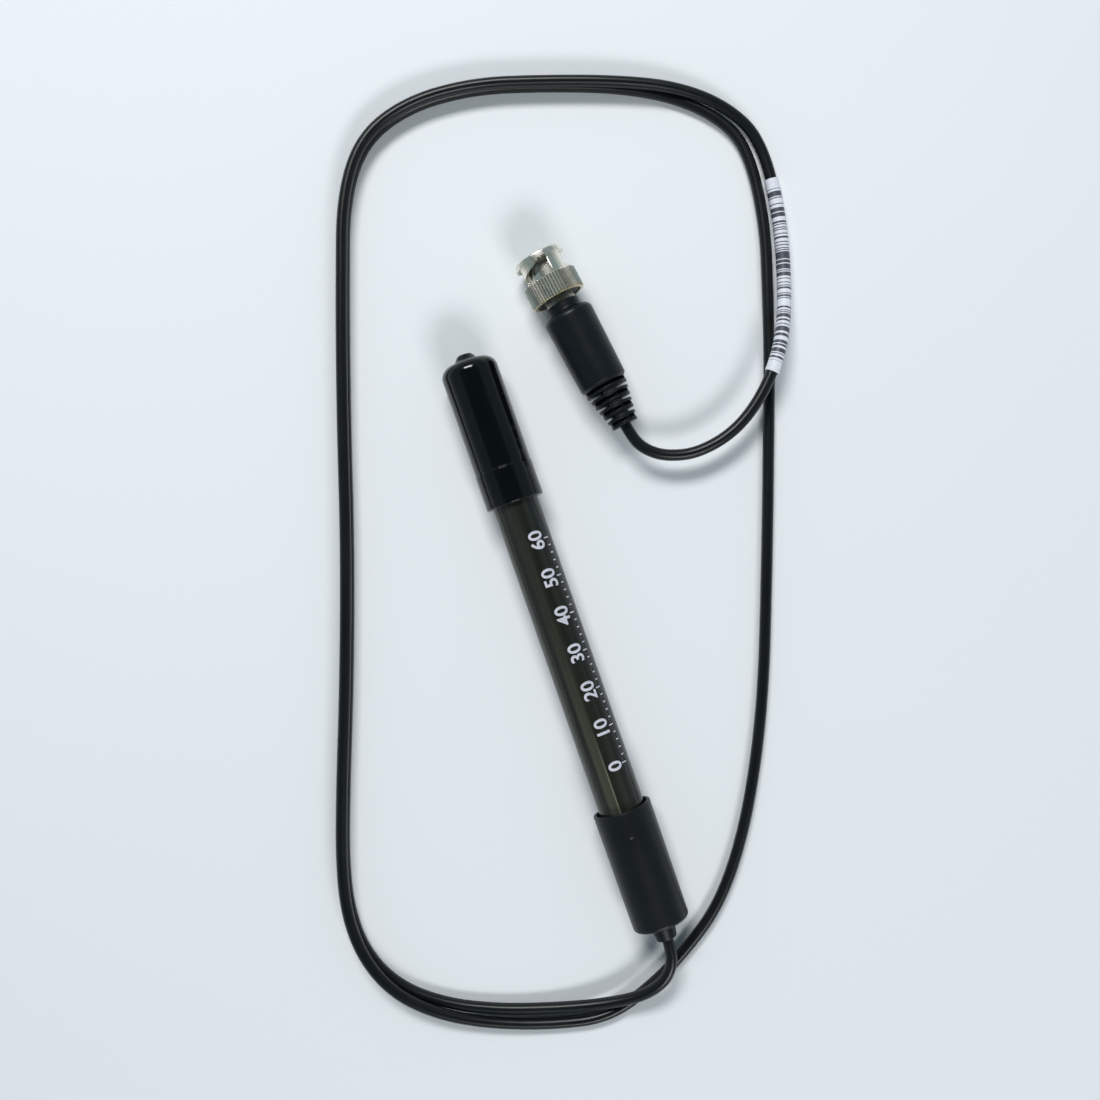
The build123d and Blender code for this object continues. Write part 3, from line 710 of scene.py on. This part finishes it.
boot = {"tail": 11.4, "shoulder": 32.6, "front": 35.0, "rearRadius": 6.25, "frontRadius": 6.6,
        "neckRadius": 4.4, "rearChamfer": 0.8, "frontRound": 1.8, "ribs": 7, "ribThickness": 0.95,
        "ribEndRadius": 3.55, "ribFrontRadius": 5.6, "coreRadius": 2.5, "webWidth": 3.0, "soft": 0.22,
        "cableBore": 1.5, "ferruleBack": 24.0, "ferruleFront": 32.0, "ferruleRadius": 3.25,
        "stemRadius": 2.6, "bodyBack": 33.4, "bodyRadius": 3.95, "tailPoints": 230}


def makeBoot(values):
    tail, shoulder, front = values["tail"], values["shoulder"], values["front"]
    tailStations = np.linspace(0, tail, values["tailPoints"])
    shell = roundedLine([
        (values["rearRadius"] - values["rearChamfer"] - 0.9, tail, 0),
        (values["rearRadius"] - values["rearChamfer"], tail, 0.3),
        (values["rearRadius"], tail + values["rearChamfer"], 0.5),
        (values["frontRadius"], shoulder, values["frontRound"]), (values["neckRadius"], shoulder, 0.5),
        (values["neckRadius"], front, 0.25), (values["bodyRadius"], front, 0),
        (values["bodyRadius"], values["bodyBack"], 0), (values["stemRadius"], values["bodyBack"], 0),
        (values["stemRadius"], values["ferruleFront"], 0),
        (values["ferruleRadius"], values["ferruleFront"], 0),
        (values["ferruleRadius"], values["ferruleBack"], 0),
        (values["cableBore"], values["ferruleBack"], 0), (values["cableBore"], 0, 0)], 12)
    tailLine = np.stack([np.full_like(tailStations, values["coreRadius"]), tailStations], axis=-1)
    line = np.concatenate([[(values["cableBore"], 0)], tailLine, closerPoints(shell, 1.0)])

    def swell(angle, station, radius):
        # on the tail the radius is the largest of the core, the ribs and the webs between them; a rib rises
        # as (1 - t^6)^(1/2), t running from -1 to 1 across its thickness, and a web as the flat-sided bar
        # half its width over |sin| of the angle from its middle
        onTail = (station < tail) & (np.abs(radius - values["coreRadius"]) < 1e-6)
        pitch = tail / values["ribs"]
        number = np.clip(np.floor(station / pitch), 0, values["ribs"] - 1)
        ribRadius = values["ribEndRadius"] + (values["ribFrontRadius"] - values["ribEndRadius"]) * number / (
            values["ribs"] - 1)
        along = station - number * pitch
        across = np.clip(np.abs(along / values["ribThickness"] * 2 - 1), 0, 1)
        rib = (ribRadius - values["coreRadius"]) * np.sqrt(1 - across ** 6)
        rib = np.where(along < values["ribThickness"], rib, 0)
        turn = angle + np.where(number % 2 == 0, math.pi / 2, 0)
        reach = values["webWidth"] / 2 / np.maximum(np.abs(np.sin(turn)), 1e-3)
        inside = np.clip((reach - values["coreRadius"]) / values["soft"], 0, 1)
        web = np.clip(np.minimum(reach, ribRadius - 0.12) - values["coreRadius"], 0, None) * inside
        return np.where(onTail, np.maximum(rib, web), 0)

    return turnedPiece("plugBoot", plugPlace, line, madeFinishes["boot_plastic"], 160, swell)


bootPiece = makeBoot(boot)
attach(bootPiece, "root")
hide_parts("plug_boot")
print("boot made")


# coupling nut with softly broken edges

nut = {"edge": 0.06, "sharpDegrees": 28, "plate": (0.88, 0.86, 0.77), "dulled": (0.76, 0.73, 0.61),
       "smooth": 0.17, "rough": 0.33, "rings": 30, "knurl": {"floor": 6.85, "from": 36.4, "to": 42.1}}

nutMetal = finish("nutPlate", {"Metallic": 1.0}, metalLook(
    plugPlace, nut["plate"], nut["dulled"], nut["smooth"], nut["rough"], nut["rings"], nut["knurl"]))
nutPiece = softened("coupling_nut", nut["edge"], nutMetal, nut["sharpDegrees"])
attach(nutPiece, "nut")
# the whole plug body's plating is painted much darker than the nut's: painted shade for the inside of the nut,
# where the body sits
bodyMetalPaintedShade = finish("bodyPlate", *metal(plugPlace, (0.36, 0.35, 0.31), (0.24, 0.23, 0.20), 0.22, 0.38, 30))
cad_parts["plug_body"].material_slots[0].material = bodyMetalPaintedShade
print("nut made")


# plain graduated scale printed on the tube: a tick each 2 mm and a number each 10 mm

scale = {"radius": 6.02, "from": 47.0, "to": 107.0, "tickEvery": 2.0, "numberEvery": 10, "tickWidth": 0.30,
         "tickPoints": 5, "edgeAngle": 0.98, "shortTick": 0.15, "longTick": 0.27, "numberBase": 0.63,
         "numberHeight": 3.7, "fontShare": 1.35, "numberWeight": 0.10, "sliceEvery": 0.4, "sliceReach": 1.4,
         "colour": (0.62, 0.62, 0.70)}


def makeTicks(values):
    count = int(round((values["to"] - values["from"]) / values["tickEvery"])) + 1
    number = np.arange(count)
    station = values["from"] + number * values["tickEvery"]
    ticksPerNumber = int(round(values["numberEvery"] / values["tickEvery"]))
    reach = np.where(number % ticksPerNumber == 0, values["longTick"], values["shortTick"])
    across = values["tickPoints"]
    share = np.linspace(0, 1, across)
    angle = values["edgeAngle"] - reach[:, None, None] * share[None, None, :]
    along = station[:, None, None] + np.array([-0.5, 0.5])[None, :, None] * values["tickWidth"]
    angle, along = np.broadcast_arrays(angle, along)
    spots = roundTheAxis(probePlace, values["radius"], angle, along)
    index = np.arange(count * 2 * across).reshape(count, 2, across)
    quads = np.stack([index[:, 0, :-1], index[:, 0, 1:], index[:, 1, 1:], index[:, 1, :-1]], axis=-1)
    return spots.reshape(-1, 3), quads.reshape(-1, 4)


def makeNumber(text, station, values):
    # a number's flat shape, cut across so that it can bend, then laid round the tube
    curve = bpy.data.curves.new("number", "FONT")
    curve.body = text
    curve.size = values["numberHeight"] * values["fontShare"]
    curve.align_x = "CENTER"
    curve.offset = values["numberWeight"]
    flat = bpy.data.objects.new("number", curve)
    bpy.context.scene.collection.objects.link(flat)
    bpy.context.view_layer.update()
    mesh = bpy.data.meshes.new_from_object(flat)
    bpy.data.objects.remove(flat)
    work = bmesh.new()
    work.from_mesh(mesh)
    every = values["sliceEvery"]
    for level in np.arange(every, values["numberHeight"] * values["sliceReach"], every):
        whole = [*work.verts, *work.edges, *work.faces]
        bmesh.ops.bisect_plane(work, geom=whole, plane_co=(0, level, 0), plane_no=(0, 1, 0))
    bmesh.ops.triangulate(work, faces=work.faces)
    work.to_mesh(mesh)
    work.free()
    spots = np.empty(len(mesh.vertices) * 3)
    mesh.vertices.foreach_get("co", spots)
    spots = spots.reshape(-1, 3)
    angle = values["numberBase"] - spots[:, 1] / values["radius"]
    corners = np.empty(len(mesh.loops), np.int64)
    mesh.loops.foreach_get("vertex_index", corners)
    bpy.data.meshes.remove(mesh)
    return roundTheAxis(probePlace, values["radius"], angle, station + spots[:, 0]), corners.reshape(-1, 3)


def inkLook(wire):
    spot = wire.objectPlace(probePlace)
    worn = spot.noise(1.6, 4.0, 0.6)
    pale = scale["colour"]
    return {
        "Base Color": worn.rise(0.3, 0.8).colours(pale, tuple(c * 0.8 for c in pale)),
        "Roughness": 0.38 + worn * 0.2, "Normal": worn.bump(0.1, 0.02)}


def makeScale(values):
    spots, quads = makeTicks(values)
    verts, faces = [spots], quads.tolist()
    total = len(spots)
    for number in range(0, int(values["to"] - values["from"]) + 1, values["numberEvery"]):
        spots, corners = makeNumber(str(number), values["from"] + number, values)
        verts.append(spots)
        faces += (corners + total).tolist()
        total += len(spots)
    mesh = bpy.data.meshes.new("tubeScale")
    mesh.from_pydata(np.concatenate(verts).tolist(), [], faces)
    mesh.materials.append(finish("scaleInk", {"IOR": 1.45}, inkLook))
    piece = bpy.data.objects.new("tubeScale", mesh)
    bpy.context.scene.collection.objects.link(piece)
    return piece


scalePiece = makeScale(scale)
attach(scalePiece, "root")
print("scale printed")
